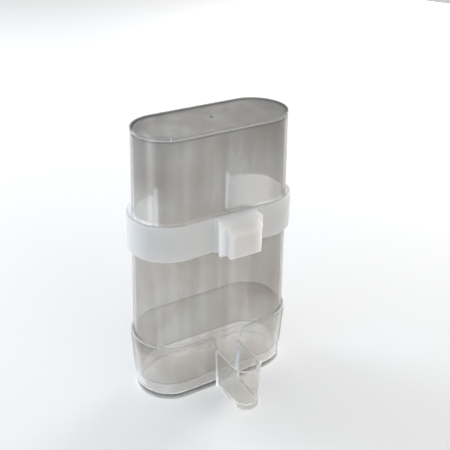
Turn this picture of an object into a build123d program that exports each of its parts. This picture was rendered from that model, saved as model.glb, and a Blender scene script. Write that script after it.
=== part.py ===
"""Clip-on siphon drinker: a clear reservoir plugged mouth down into a clear base with a
drinking spout, and a white spring clip that holds the reservoir to cage wires.

Millimetres, +Z up, resting plane at z = 0, drinking spout towards -Y. The origin is the centre
of the footprint, so the reservoir's axis stands a little behind it.
"""

from build123d import *
import os

# The section of the reservoir and base is a stadium: two end arcs joined by straight sides.
height = 120.0
same_height = 0.01  # edges this close in height are at one level
arc_spread = 39.8  # distance between the centres of the two end arcs
tube_y = 9.7  # the reservoir's axis, behind the origin

# Reservoir
top_radius = 13.75
shoulder_radius = 15.6
mouth_radius = 13.95
shoulder_z = 28.8
mouth_z = 7.8
tube_wall = 1.2
top_plate = 1.8
lip_proud = 0.2
lip_height = 0.9
lip_slope = 0.4
top_edge_round = 0.3
inner_corner_round = 1.0
mouth_edge_round = 0.3
gate_radius = 0.7
gate_height = 0.3
gate_round = 0.2

# Base
rim_z = 28.2
rim_radius = 16.9
rim_inner_radius = 15.8
foot_radius = 15.2
ledge_z = 7.7
ledge_radius = 14.2
well_radius = 13.4
floor_z = 1.4
floor_corner_round = 2.2
rim_edge_round = 0.3
foot_edge_round = 0.25

# Drinking spout, part of the base moulding
spout_z = 20.4
spout_tip = 36.5  # distance from the reservoir's axis to the tip
spout_top_half_width = 6.6
spout_foot_half_width = 5.3
spout_wall = 1.05
spout_lip_round = 0.25
spout_root = 12.0  # where the channel starts, inside the front wall
slot_rim_half_width = 7.2

# Spring clip
clip_z = 69.7
clip_height = 15.4
clip_thickness = 1.25
clip_shift_x = -0.3  # the clip sits slightly to one side
clip_front_gap = 15.1  # inside of the band's middle to the reservoir's axis
clip_end_radius = 15.7  # inside radius of the band's ends
clip_end_x = 18.7
clip_arm_turn = 185.0  # degrees the band turns round each end
clip_arm_straight = 0.6
clip_edge_round = 0.3
arm_rib_radius = 1.15
arm_rib_rise = 1.9
arm_rib_round = 0.5

# Stepped wedge on the clip's front: half widths of its steps, each at its distance forwards
wedge_x = 2.2  # the wedge's centre, to one side of the clip's
wedge_root = (10.7, 15.6)
wedge_shoulder = (10.2, 16.5)
wedge_rear_notch = (8.6, 17.7)
wedge_rear_tooth = (10.3, 21.0)
wedge_front_notch = (6.7, 21.7)
wedge_front_tooth = (8.45, 25.2)
wedge_front_height = 11.2
wedge_roof_round = 3.2
wedge_step_round = 0.5
wedge_front_round = 1.5
wedge_core_size = (9.6, 5.8)
wedge_core_y = 20.2
wedge_core_height = 8.5


def level(z):
    """Horizontal plane at height z, centred on the reservoir's axis."""
    return Plane(origin=(0, tube_y, z))


def stadium_loft(lower_z, lower_radius, upper_z, upper_radius):
    """Solid of stadium section whose end radius changes evenly with height."""
    with BuildPart() as solid:
        with BuildSketch(level(lower_z)):
            SlotCenterToCenter(arc_spread, 2 * lower_radius)
        with BuildSketch(level(upper_z)):
            SlotCenterToCenter(arc_spread, 2 * upper_radius)
        loft()
    return solid.part


def tongue_loft(lower_z, lower_half_width, upper_z, upper_half_width, tip):
    """Solid tongue with a rounded tip, from inside the front wall out to the tip."""
    with BuildPart() as solid:
        for z, half_width in ((lower_z, lower_half_width), (upper_z, upper_half_width)):
            straight = tip - half_width - spout_root
            with BuildSketch(level(z)):
                with Locations((0, -spout_root - straight / 2)):
                    Rectangle(2 * half_width, straight)
                with Locations((0, -spout_root - straight)):
                    Circle(half_width)
        loft()
    return solid.part


def edges_at(piece, z):
    """Edges of a piece that lie level at height z."""
    return piece.edges().filter_by_position(Axis.Z, z - same_height, z + same_height)


def tube_radius(z):
    """Outside end radius of the reservoir above its shoulder."""
    return shoulder_radius + (top_radius - shoulder_radius) * (z - shoulder_z) / (height - shoulder_z)


# ---- reservoir -------------------------------------------------------------------------
lip_z = height - lip_height
inside_top_z = height - top_plate
tube_outside = stadium_loft(shoulder_z, shoulder_radius, height, top_radius)
neck_outside = stadium_loft(mouth_z, mouth_radius, shoulder_z, shoulder_radius)
lip_bevel = stadium_loft(lip_z - lip_slope, tube_radius(lip_z - lip_slope), lip_z, top_radius + lip_proud)
lip_band = stadium_loft(lip_z, top_radius + lip_proud, height, top_radius + lip_proud)
tube_inside = stadium_loft(
    shoulder_z, shoulder_radius - tube_wall, inside_top_z, tube_radius(inside_top_z) - tube_wall
)
neck_inside = stadium_loft(mouth_z, mouth_radius - tube_wall, shoulder_z, shoulder_radius - tube_wall)

with BuildPart() as reservoir:
    add(tube_outside)
    add(neck_outside)
    add(lip_bevel)
    add(lip_band)
    fillet(reservoir.edges().group_by(Axis.Z)[-1], radius=top_edge_round)
    add(tube_inside, mode=Mode.SUBTRACT)
    add(neck_inside, mode=Mode.SUBTRACT)
    fillet(edges_at(reservoir, inside_top_z), radius=inner_corner_round)
    fillet(reservoir.edges().group_by(Axis.Z)[0], radius=mouth_edge_round)
    # trimmed injection point in the middle of the closed top
    with BuildSketch(level(height)):
        Circle(gate_radius)
    extrude(amount=gate_height)
    fillet(reservoir.edges().group_by(Axis.Z)[-1], radius=gate_round)

# ---- base with drinking spout ----------------------------------------------------------
spout_floor_half_width = spout_foot_half_width + (
    spout_top_half_width - spout_foot_half_width
) * floor_z / spout_z
shell_outside = stadium_loft(0, foot_radius, rim_z, rim_radius)
spout_outside = tongue_loft(0, spout_foot_half_width, spout_z, spout_top_half_width, spout_tip)
socket = stadium_loft(ledge_z, ledge_radius, rim_z, rim_inner_radius)
well = stadium_loft(floor_z, well_radius, ledge_z, well_radius)
channel = tongue_loft(
    floor_z,
    spout_floor_half_width - spout_wall,
    spout_z,
    spout_top_half_width - spout_wall,
    spout_tip - spout_wall,
)
slot = tongue_loft(spout_z, spout_top_half_width - spout_wall, rim_z, slot_rim_half_width, spout_tip)

with BuildPart() as water_space:
    add(well)
    add(channel)
    floor_edges = water_space.edges().group_by(Axis.Z)[0]
    fillet(floor_edges, radius=floor_corner_round)

with BuildPart() as base:
    add(shell_outside)
    add(spout_outside)
    fillet(base.edges().group_by(Axis.Z)[0], radius=foot_edge_round)
    add(socket, mode=Mode.SUBTRACT)
    add(water_space.part, mode=Mode.SUBTRACT)
    add(slot, mode=Mode.SUBTRACT)
    fillet(base.edges().group_by(Axis.Z)[-1], radius=rim_edge_round)
    fillet(edges_at(base, spout_z), radius=spout_lip_round)

# ---- spring clip -----------------------------------------------------------------------
wedge_steps = (
    wedge_root,
    wedge_shoulder,
    wedge_rear_notch,
    wedge_rear_tooth,
    wedge_front_notch,
    wedge_front_tooth,
)
clip_axis = (clip_shift_x, tube_y, clip_z)
wedge_side = Plane(origin=(clip_shift_x + wedge_x, tube_y, clip_z), x_dir=(0, -1, 0), z_dir=(-1, 0, 0))

with BuildPart() as wedge:
    with BuildSketch(Plane(origin=clip_axis)) as wedge_plan:
        with BuildLine():
            right_steps = [(wedge_x + x, -y) for x, y in wedge_steps]
            left_steps = [(wedge_x - x, -y) for x, y in reversed(wedge_steps)]
            Polyline(right_steps + left_steps, close=True)
        make_face()
        # the two front corners are the roundest, and the four at the root stay sharp
        fillet(wedge_plan.vertices().sort_by(Axis.Y)[2:-4], radius=wedge_step_round)
        fillet(wedge_plan.vertices().sort_by(Axis.Y)[:2], radius=wedge_front_round)
    extrude(amount=clip_height)
    # the roof falls from the band's top edge to the lower front face
    with BuildSketch(wedge_side) as wedge_profile:
        with BuildLine():
            Polyline(
                (wedge_root[1], 0),
                (wedge_front_tooth[1], 0),
                (wedge_front_tooth[1], wedge_front_height),
                (wedge_shoulder[1], clip_height),
                (wedge_root[1], clip_height),
                close=True,
            )
        make_face()
        roof_front = wedge_profile.vertices().group_by(Axis.X)[-1].sort_by(Axis.Y)[-1]
        fillet(roof_front, radius=wedge_roof_round)
    extrude(amount=wedge_root[0], both=True, mode=Mode.INTERSECT)
    # cored out from below, so that the walls are of even thickness
    with BuildSketch(Plane(origin=clip_axis)):
        with Locations((wedge_x, -wedge_core_y)):
            Rectangle(*wedge_core_size)
    extrude(amount=wedge_core_height, mode=Mode.SUBTRACT)

half_thickness = clip_thickness / 2
with BuildPart() as clip:
    with BuildSketch(Plane(origin=clip_axis)):
        with BuildLine():
            front = ThreePointArc(
                (-clip_end_x, -clip_end_radius - half_thickness),
                (0, -clip_front_gap - half_thickness),
                (clip_end_x, -clip_end_radius - half_thickness),
            )
            right_end = JernArc(front @ 1, front % 1, clip_end_radius + half_thickness, clip_arm_turn)
            right_arm = Line(right_end @ 1, right_end @ 1 + (right_end % 1) * clip_arm_straight)
            left_end = JernArc(front @ 0, (front % 0) * -1, clip_end_radius + half_thickness, -clip_arm_turn)
            left_arm = Line(left_end @ 1, left_end @ 1 + (left_end % 1) * clip_arm_straight)
        trace(line_width=clip_thickness)
    extrude(amount=clip_height)
    fillet(clip.edges().group_by(Axis.Z)[0] + clip.edges().group_by(Axis.Z)[-1], radius=clip_edge_round)
    # upright rounded ribs that end the arms on the back
    with BuildSketch(Plane(origin=clip_axis)):
        with Locations(right_arm @ 1, left_arm @ 1):
            Circle(arm_rib_radius)
    extrude(amount=clip_height + arm_rib_rise)
    fillet(clip.edges().group_by(Axis.Z)[-1], radius=arm_rib_round)
    add(wedge.part)

reservoir.part.label = "reservoir"
base.part.label = "base"
clip.part.label = "clip"

os.makedirs("parts", exist_ok=True)
export_step(reservoir.part, "parts/reservoir.step")
export_step(base.part, "parts/base.step")
export_step(clip.part, "parts/clip.step")
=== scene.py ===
"""Looks of the clip-on siphon drinker: a smoky clear reservoir in a clear base, with a white spring clip.

Metres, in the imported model's own frame: +Z up, drinking spout towards -Y.
"""

import math

import bpy
from mathutils import Matrix, Vector


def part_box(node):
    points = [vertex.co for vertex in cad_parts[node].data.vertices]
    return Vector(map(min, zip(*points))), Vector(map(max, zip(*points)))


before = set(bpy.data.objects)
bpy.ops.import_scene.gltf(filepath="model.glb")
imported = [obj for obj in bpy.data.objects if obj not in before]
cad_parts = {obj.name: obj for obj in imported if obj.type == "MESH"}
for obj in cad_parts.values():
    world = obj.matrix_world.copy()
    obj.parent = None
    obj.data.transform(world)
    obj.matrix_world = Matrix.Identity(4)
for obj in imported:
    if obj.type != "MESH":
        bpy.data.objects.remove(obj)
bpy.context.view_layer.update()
reservoir_low, reservoir_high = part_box("reservoir")
_, base_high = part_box("base")
clip_low, clip_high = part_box("clip")
tube_axis_y = (reservoir_low.y + reservoir_high.y) / 2
base_front_y = 2 * tube_axis_y - base_high.y  # outside of the base's front wall
white = (1.0, 1.0, 1.0)


# ---- shader building ---------------------------------------------------------------------
class Shader:
    """A material's node tree, with short calls to add nodes and join them."""

    def __init__(self, name):
        self.material = bpy.data.materials.new(name)
        self.material.use_nodes = True
        self.nodes = self.material.node_tree.nodes
        self.links = self.material.node_tree.links
        self.bsdf = self.nodes["Principled BSDF"]

    def node(self, kind, **inputs):
        """New node, with constants on its inputs."""
        node = self.nodes.new(kind)
        for key, value in inputs.items():
            node.inputs[key.replace("_", " ")].default_value = value
        return node

    def link(self, source, target):
        self.links.new(source, target)

    def set(self, **values):
        """Constants on the Principled shader's own sockets."""
        for key, value in values.items():
            self.bsdf.inputs[key.replace("_", " ")].default_value = value

    def feed(self, **sources):
        """Textures into the Principled shader's sockets."""
        for key, source in sources.items():
            self.link(source, self.bsdf.inputs[key.replace("_", " ")])

    def split(self, coordinate):
        """X, Y and Z of one of the texture coordinates, by name."""
        separate = self.node("ShaderNodeSeparateXYZ")
        self.link(self.node("ShaderNodeTexCoord").outputs[coordinate], separate.inputs["Vector"])
        return separate.outputs

    def place(self):
        """X, Y and Z of the point."""
        return self.split("Object")

    def facing(self):
        """X, Y and Z of the surface's own normal."""
        return self.split("Normal")

    def stretched(self, stretch):
        """The point's place, with a scale for each axis."""
        mapping = self.node("ShaderNodeMapping", Scale=stretch)
        self.link(self.node("ShaderNodeTexCoord").outputs["Object"], mapping.inputs["Vector"])
        return mapping.outputs["Vector"]

    def noise(self, scale, detail=3.0, stretch=(1, 1, 1), distortion=0.0):
        """Noise of that many cells to a metre; stretch is a further scale for each axis."""
        noise = self.node("ShaderNodeTexNoise", Scale=scale, Detail=detail, Distortion=distortion)
        self.link(self.stretched(stretch), noise.inputs["Vector"])
        return noise.outputs["Fac"]

    def specks(self, scale):
        """Distance to the middle of the nearest cell of that many cells to a metre, for specks of dirt."""
        cells = self.node("ShaderNodeTexVoronoi", Scale=scale)
        self.link(self.stretched((1, 1, 1)), cells.inputs["Vector"])
        return cells.outputs["Distance"]

    def ramp(self, source, *stops):
        """Colour ramp; each stop is (position, value or colour)."""
        ramp = self.nodes.new("ShaderNodeValToRGB")
        elements = ramp.color_ramp.elements
        while len(elements) < len(stops):
            elements.new(0.5)
        for element, (position, value) in zip(elements, stops):
            colour = value if isinstance(value, tuple) else (value, value, value)
            element.position = position
            element.color = (*colour, 1.0)
        self.link(source, ramp.inputs["Fac"])
        return ramp.outputs["Color"]

    def span(self, source, low, high, to_low=0.0, to_high=1.0):
        """Value mapped from low..high to to_low..to_high, and held beyond."""
        mapped = self.node("ShaderNodeMapRange")
        for index, value in enumerate((low, high, to_low, to_high), start=1):
            mapped.inputs[index].default_value = value
        self.link(source, mapped.inputs["Value"])
        return mapped.outputs["Result"]

    def math(self, operation, first, second=0):
        """Result of one operation; each value is a socket or a constant."""
        node = self.nodes.new("ShaderNodeMath")
        node.operation = operation
        for socket, value in zip(node.inputs, (first, second)):
            if isinstance(value, (int, float)):
                socket.default_value = value
            else:
                self.link(value, socket)
        return node.outputs["Value"]

    def product(self, first, *others):
        """Product of values."""
        for other in others:
            first = self.math("MULTIPLY", first, other)
        return first

    def largest(self, first, *others):
        """Largest of values."""
        for other in others:
            first = self.math("MAXIMUM", first, other)
        return first

    def mix(self, factor, first, second, blend_type="MIX"):
        """Blend of two colours; factor and colours are sockets or constants."""
        node = self.nodes.new("ShaderNodeMix")
        node.data_type = "RGBA"
        node.blend_type = blend_type
        colours = [socket for socket in node.inputs if socket.type == "RGBA"]
        for socket, value in zip((node.inputs["Factor"], *colours), (factor, first, second)):
            if isinstance(value, float):
                socket.default_value = value
            elif isinstance(value, tuple):
                socket.default_value = (*value, 1.0)
            else:
                self.link(value, socket)
        return next(socket for socket in node.outputs if socket.type == "RGBA")

    def multiply(self, first, *others):
        """Product of colours."""
        for other in others:
            first = self.mix(1.0, first, other, "MULTIPLY")
        return first

    def bump(self, height, strength, distance):
        """Bump from a height, into the Principled shader's normal."""
        bump = self.node("ShaderNodeBump", Strength=strength, Distance=distance)
        self.link(height, bump.inputs["Height"])
        self.feed(Normal=bump.outputs["Normal"])


# ---- clear plastic -----------------------------------------------------------------------
def smoky_clear(
    name,
    low_tint,
    high_tint,
    top_z,
    end_x,
    right_darkening_depth,
    streak_depth,
    haze,
    stain,
    worn,
    worn_tint,
    painted_streak=None,
    clean_and_lit=None,
):
    """Clear moulded plastic, tinted from low_tint at its foot to high_tint near top_z.

    Above its foot it darkens a little towards +X, to the depth given for that. Its curved ends, out to
    end_x, are darker near the top: painted shade for the curved walls seen at a slant. It also has drawn-out
    flow streaks, soft clouds, specks, fine scratches and a haze of dried water. stain, worn and the last two
    arguments take the shader: stain gives a colour that multiplies the tint, and the others give places, as
    a socket from 0 to 1. Handling has frosted the worn ones to worn_tint. The tint is lighter along a
    painted highlight streak, and where the clip covers the walls the colour is lightened to a tint of its
    own, partly a clean patch and partly painted light for the clip seen through the walls.
    """
    s = Shader(name)
    s.set(IOR=1.42)
    place = s.place()

    top_shade = 0.85
    top_tint = tuple(top_shade * channel for channel in high_tint)
    by_height = s.ramp(s.span(place["Z"], 0.0, top_z), (0.0, low_tint), (0.92, high_tint), (0.985, top_tint))
    # Painted shade: the curved ends are darkened near the top, for the darker look of the walls seen at a
    # slant.
    curve_length = 0.016
    toward_end = s.span(s.math("ABSOLUTE", place["X"]), end_x - curve_length, end_x)
    high_up = s.span(place["Z"], 0.76 * top_z, 0.85 * top_z)
    painted_end_shade = s.ramp(s.product(toward_end, high_up), (0.0, 1.0), (1.0, 0.76))
    # Darker towards +X above the foot.
    foot_z, darkening_z = 0.018, 0.032
    foot_darkening = (0.98, 0.98, 0.98)
    upper_darkening = s.ramp(s.span(place["X"], -end_x, end_x), (0.15, 1.0), (0.5, 0.95), (0.85, right_darkening_depth))
    darkening = s.mix(s.span(place["Z"], foot_z, darkening_z), foot_darkening, upper_darkening)
    tint = s.multiply(by_height, darkening, painted_end_shade, stain(s))
    # Painted highlight: the tint is lightened along an upright streak.
    if painted_streak:
        tint = s.mix(painted_streak(s), tint, white)

    flow = s.noise(170.0, detail=2.0, stretch=(1, 1, 0.04))
    streaks = s.ramp(flow, (0.36, 1.0 - streak_depth), (0.62, 1.0))
    clouds = s.ramp(s.noise(38.0, detail=2.0, distortion=0.5), (0.36, (0.92, 0.89, 0.875)), (0.60, white))
    specks = s.ramp(s.specks(75.0), (0.02, 0.35), (0.035, 1.0))
    colour = s.multiply(tint, streaks, clouds, specks)
    # Partly a clean patch, partly painted light: lighter where the clip lies behind the walls.
    if clean_and_lit:
        clean_and_lit_places, clean_and_lit_tint = clean_and_lit(s)
        colour = s.mix(clean_and_lit_places, colour, clean_and_lit_tint)
    frost = worn(s)
    s.feed(Base_Color=s.mix(frost, colour, worn_tint))

    frost_roughness = 0.3
    scratches = s.ramp(s.noise(500.0, detail=2.0, stretch=(1, 1, 0.08)), (0.60, 0.0), (0.75, 0.08))
    marks = s.ramp(s.noise(90.0, detail=4.0), (0.45, 0.02), (0.75, 0.09))
    surface = s.math("ADD", marks, scratches)
    s.feed(Roughness=s.math("ADD", surface, s.product(frost, frost_roughness)))

    frost_cloudiness = 0.8
    clear = s.span(s.noise(60.0, detail=4.0), 0.35, 0.75, 1.0 - haze / 2, 1.0 - 1.5 * haze)
    s.feed(Transmission_Weight=s.math("SUBTRACT", clear, s.product(frost, frost_cloudiness)))
    s.bump(s.noise(35.0, detail=1.0, stretch=(1, 1, 0.35)), strength=0.12, distance=0.002)
    return s.material


def reach(s):
    """Level distance from the straight line joining the centres of the reservoir's two round ends."""
    place = s.place()
    half_line = reservoir_high.x - (reservoir_high.y - tube_axis_y)
    along = s.largest(s.math("SUBTRACT", s.math("ABSOLUTE", place["X"]), half_line), 0)
    across = s.math("SUBTRACT", place["Y"], tube_axis_y)
    return s.math("SQRT", s.math("ADD", s.product(along, along), s.product(across, across)))


# Places on the base
def base_wear(s):
    """Scuffed rims and slot edges, and a scuffed band round the foot and the edge of the sole."""
    place = s.place()
    facing = s.facing()
    above_ledge = s.span(place["Z"], 0.0145, 0.015)
    rims = s.product(s.span(facing["Z"], 0.35, 0.8, 0.0, 0.9), above_ledge)
    sideways = s.span(s.math("ABSOLUTE", facing["X"]), 0.7, 0.9)
    behind_front = s.span(place["Y"], base_front_y - 0.0005, base_front_y)
    before_inside = s.span(place["Y"], base_front_y + 0.0025, base_front_y + 0.002)
    slot = s.product(sideways, behind_front, before_inside)
    near_sole = s.span(place["Z"], 0.0009, 0.0004, 0.0, 0.6)
    foot = s.product(near_sole, s.span(reach(s), 0.0095, 0.0125))
    return s.largest(rims, slot, foot)


def tip_stain(s):
    """A faint brown stain towards the tip of the drinking spout."""
    toward_tip = s.span(s.place()["Y"], -0.015, -0.024)
    return s.ramp(toward_tip, (0.0, 1.0), (1.0, (0.92, 0.91, 0.885)))


# Places on the reservoir
def reservoir_wear(s):
    """A scuffed lip round the closed top, and a scuffed mouth where it stands on the ledge."""
    height = s.place()["Z"]
    near_top = s.span(height, reservoir_high.z - 0.0017, reservoir_high.z - 0.0014, 0.0, 0.6)
    lip = s.product(near_top, s.span(reach(s), 0.0129, 0.0133))
    near_mouth = s.span(height, reservoir_low.z + 0.001, reservoir_low.z + 0.0008)
    mouth = s.product(s.span(s.facing()["Z"], -0.5, -0.9), near_mouth)
    return s.largest(lip, mouth)


def low_stain(s):
    """A faint brown stain between the base and the clip, except at the left end."""
    place = s.place()
    above_base = s.span(place["Z"], 0.25 * reservoir_high.z, 0.35 * reservoir_high.z)
    below_clip = s.span(place["Z"], 0.7 * reservoir_high.z, 0.58 * reservoir_high.z)
    off_left_end = s.span(place["X"], -0.75 * reservoir_high.x, -0.5 * reservoir_high.x)
    stained = s.product(above_base, below_clip, off_left_end)
    return s.ramp(stained, (0.0, 1.0), (1.0, (0.96, 0.95, 0.93)))


def painted_highlight_streak(s):
    """A painted highlight: a light upright line at the left of the front, for the reflection where the flat
    front turns into the left end.
    """
    place = s.place()
    painted_streak_x = -0.865 * reservoir_high.x
    painted_streak_strength = 0.55
    from_painted_streak = s.math("ABSOLUTE", s.math("SUBTRACT", place["X"], painted_streak_x))
    front = s.span(place["Y"], tube_axis_y, tube_axis_y - 0.005)
    return s.product(s.span(from_painted_streak, 0.0016, 0.0004), front, painted_streak_strength)


def clean_and_lit_under_clip(s):
    """The patches that the clip covers, and their tint, lightest at the left arm and the right end: partly a
    clean patch, partly painted light that makes the clip's arms and ribs, seen through the walls, as bright
    as if lit from behind.
    """
    place = s.place()
    low_edge = s.span(place["Z"], clip_low.z - 0.0003, clip_low.z)
    band_top = s.span(place["Z"], clip_high.z - 0.0016, clip_high.z - 0.0019)
    rib_top = s.span(place["Z"], clip_high.z + 0.0008, clip_high.z + 0.0005)
    front = s.span(place["Y"], tube_axis_y - 0.008, tube_axis_y - 0.010, 0.0, 0.5)
    off_front = s.span(place["Y"], tube_axis_y - 0.010, tube_axis_y - 0.008)
    rear = s.span(place["Y"], tube_axis_y + 0.008, tube_axis_y + 0.010)
    patch_middle_x = -0.0009
    from_middle = s.math("ABSOLUTE", s.math("SUBTRACT", place["X"], patch_middle_x))
    arm = s.span(from_middle, 0.0162, 0.0165)
    rib = s.product(arm, s.span(from_middle, 0.0187, 0.0184), rear)
    band = s.product(band_top, s.largest(front, s.product(arm, off_front)))
    patches = s.product(low_edge, s.largest(band, s.product(rib_top, rib)))
    right_arm_x = 0.0175
    along_right_arm = s.span(place["X"], right_arm_x, reservoir_high.x)
    return patches, s.ramp(along_right_arm, (0.0, 1.0), (0.03, 0.84), (0.35, 0.84), (0.8, 1.0))


# ---- white plastic -----------------------------------------------------------------------
def milky_white(name):
    """White translucent moulded plastic with a soft sheen, with painted warm shade towards the wedge's
    front.
    """
    s = Shader(name)
    cloudy = s.ramp(s.noise(60.0, detail=3.0), (0.3, (0.915, 0.91, 0.90)), (0.7, (0.945, 0.94, 0.93)))
    # Painted shade: the wedge's front face is darker and warmer, for the weaker, warmer light that falls on
    # it.
    painted_shade_toward_wedge_front = s.span(s.place()["Y"], -0.0085, -0.0152)
    s.feed(Base_Color=s.mix(painted_shade_toward_wedge_front, cloudy, (0.69, 0.665, 0.63)))
    s.feed(Roughness=s.ramp(s.noise(250.0, detail=3.0), (0.3, 0.42), (0.7, 0.55)))
    s.set(IOR=1.49, Subsurface_Weight=1.0, Subsurface_Radius=white, Subsurface_Scale=0.012)
    s.bump(s.noise(400.0, detail=3.0), strength=0.06, distance=0.0003)
    return s.material


# ---- materials on the pieces -------------------------------------------------------------
def dress(node, material):
    """Give a CAD node its material."""
    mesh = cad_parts[node].data
    mesh.materials.clear()
    mesh.materials.append(material)


reservoir_clear = smoky_clear(
    "reservoir_clear",
    low_tint=(0.91, 0.904, 0.884),
    high_tint=(0.692, 0.687, 0.668),
    top_z=reservoir_high.z,
    end_x=reservoir_high.x,
    right_darkening_depth=0.89,
    streak_depth=0.14,
    haze=0.06,
    stain=low_stain,
    worn=reservoir_wear,
    worn_tint=(0.49, 0.49, 0.48),
    # painted highlight streak at the left of the front
    painted_streak=painted_highlight_streak,
    # lighter patches where the clip lies: partly clean, partly painted light
    clean_and_lit=clean_and_lit_under_clip,
)
base_clear = smoky_clear(
    "base_clear",
    low_tint=(0.925, 0.925, 0.91),
    high_tint=(0.99, 0.99, 0.975),
    top_z=base_high.z,
    end_x=base_high.x,
    right_darkening_depth=1.0,
    streak_depth=0.03,
    haze=0.05,
    stain=tip_stain,
    worn=base_wear,
    worn_tint=white,
)
dress("reservoir", reservoir_clear)
dress("base", base_clear)
dress("clip", milky_white("clip_white"))
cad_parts["base"].visible_shadow = False  # clear plastic hardly dims the light that falls through it

# ---- stage -------------------------------------------------------------------------------
floor_reach = 3.0
floor_z = -0.0003  # just under the resting plane
corners = [(x * floor_reach, y * floor_reach, floor_z) for x, y in ((-1, -1), (1, -1), (1, 1), (-1, 1))]
floor_mesh = bpy.data.meshes.new("floor")
floor_mesh.from_pydata(corners, [], [(0, 1, 2, 3)])
floor = bpy.data.objects.new("floor", floor_mesh)
bpy.context.scene.collection.objects.link(floor)
floor_shader = Shader("floor_white")
floor_shader.set(Base_Color=(0.93, 0.93, 0.93, 1.0), Roughness=0.9)
floor_mesh.materials.append(floor_shader.material)

# ---- light -------------------------------------------------------------------------------
horizon_grey = 0.85
upper_grey = 0.47
upper_rise = 0.6  # Z of the direction from which the upper grey fills the sky
world = bpy.data.worlds.new("studio")
bpy.context.scene.world = world
world.use_nodes = True
sky = world.node_tree.nodes["Background"]
direction = world.node_tree.nodes.new("ShaderNodeTexCoord")
rise = world.node_tree.nodes.new("ShaderNodeSeparateXYZ")
fade = world.node_tree.nodes.new("ShaderNodeValToRGB")
for stop, position, grey in zip(fade.color_ramp.elements, (0.0, upper_rise), (horizon_grey, upper_grey)):
    stop.position = position
    stop.color = (grey, grey, grey, 1.0)
world.node_tree.links.new(direction.outputs["Generated"], rise.inputs["Vector"])
world.node_tree.links.new(rise.outputs["Z"], fade.inputs["Fac"])
world.node_tree.links.new(fade.outputs["Color"], sky.inputs["Color"])
sky.inputs["Strength"].default_value = 1.12


def outward(azimuth, elevation):
    """Unit vector in a direction given in radians; azimuth 0 is in front of the spout."""
    return Vector(
        (
            math.sin(azimuth) * math.cos(elevation),
            -math.cos(azimuth) * math.cos(elevation),
            math.sin(elevation),
        )
    )


def softbox(name, azimuth, elevation, distance, size, power, colour=white):
    """Square area light facing the object; azimuth 90 degrees is to its right, seen from the front."""
    data = bpy.data.lights.new(name, "AREA")
    data.size = size
    data.energy = power
    data.color = colour
    away = outward(math.radians(azimuth), math.radians(elevation))
    middle = Vector((0, tube_axis_y, reservoir_high.z / 2))
    light = bpy.data.objects.new(name, data)
    light.location = middle + distance * away
    light.rotation_euler = away.to_track_quat("Z", "Y").to_euler()
    light.visible_transmission = False  # not seen through the clear walls
    bpy.context.scene.collection.objects.link(light)


softbox("window", -80, 15, distance=0.7, size=0.4, power=0.8, colour=(0.52, 0.76, 1.0))
softbox("back_left", -145, 7, distance=0.8, size=0.35, power=5.0, colour=(0.88, 0.94, 1.0))
softbox("back_right", 117, 7, distance=0.8, size=0.35, power=5.0)
softbox("overhead", 0, 85, distance=0.9, size=0.5, power=0.5)
softbox("fill", 10, 15, distance=0.9, size=0.5, power=1.25, colour=(1.0, 0.9, 0.8))

# ---- camera ------------------------------------------------------------------------------
azimuth = math.radians(-32.06)
elevation = math.radians(28.13)
roll = math.radians(1.15)
distance = 0.3272
aim = Vector((0, tube_axis_y, 0.07235))
aim_shift = 0.00609  # the aim's place to the right of the reservoir's axis, as the camera sees it
back = outward(azimuth, elevation)
right = Vector((math.cos(azimuth), math.sin(azimuth), 0))
up = back.cross(right)
rolled_right = math.cos(roll) * right + math.sin(roll) * up
rolled_up = -math.sin(roll) * right + math.cos(roll) * up
camera_data = bpy.data.cameras.new("camera")
camera_data.lens = 62.71
camera_data.sensor_width = 36.0
camera = bpy.data.objects.new("camera", camera_data)
axes = Matrix((rolled_right, rolled_up, back)).transposed()
camera.matrix_world = Matrix.Translation(aim + aim_shift * right + distance * back) @ axes.to_4x4()
bpy.context.scene.collection.objects.link(camera)
bpy.context.scene.camera = camera
bpy.context.scene.view_settings.view_transform = "Standard"
clear_bounces = 32  # enough for a ray through all the clear walls behind each other
bpy.context.scene.cycles.max_bounces = clear_bounces
bpy.context.scene.cycles.transmission_bounces = clear_bounces
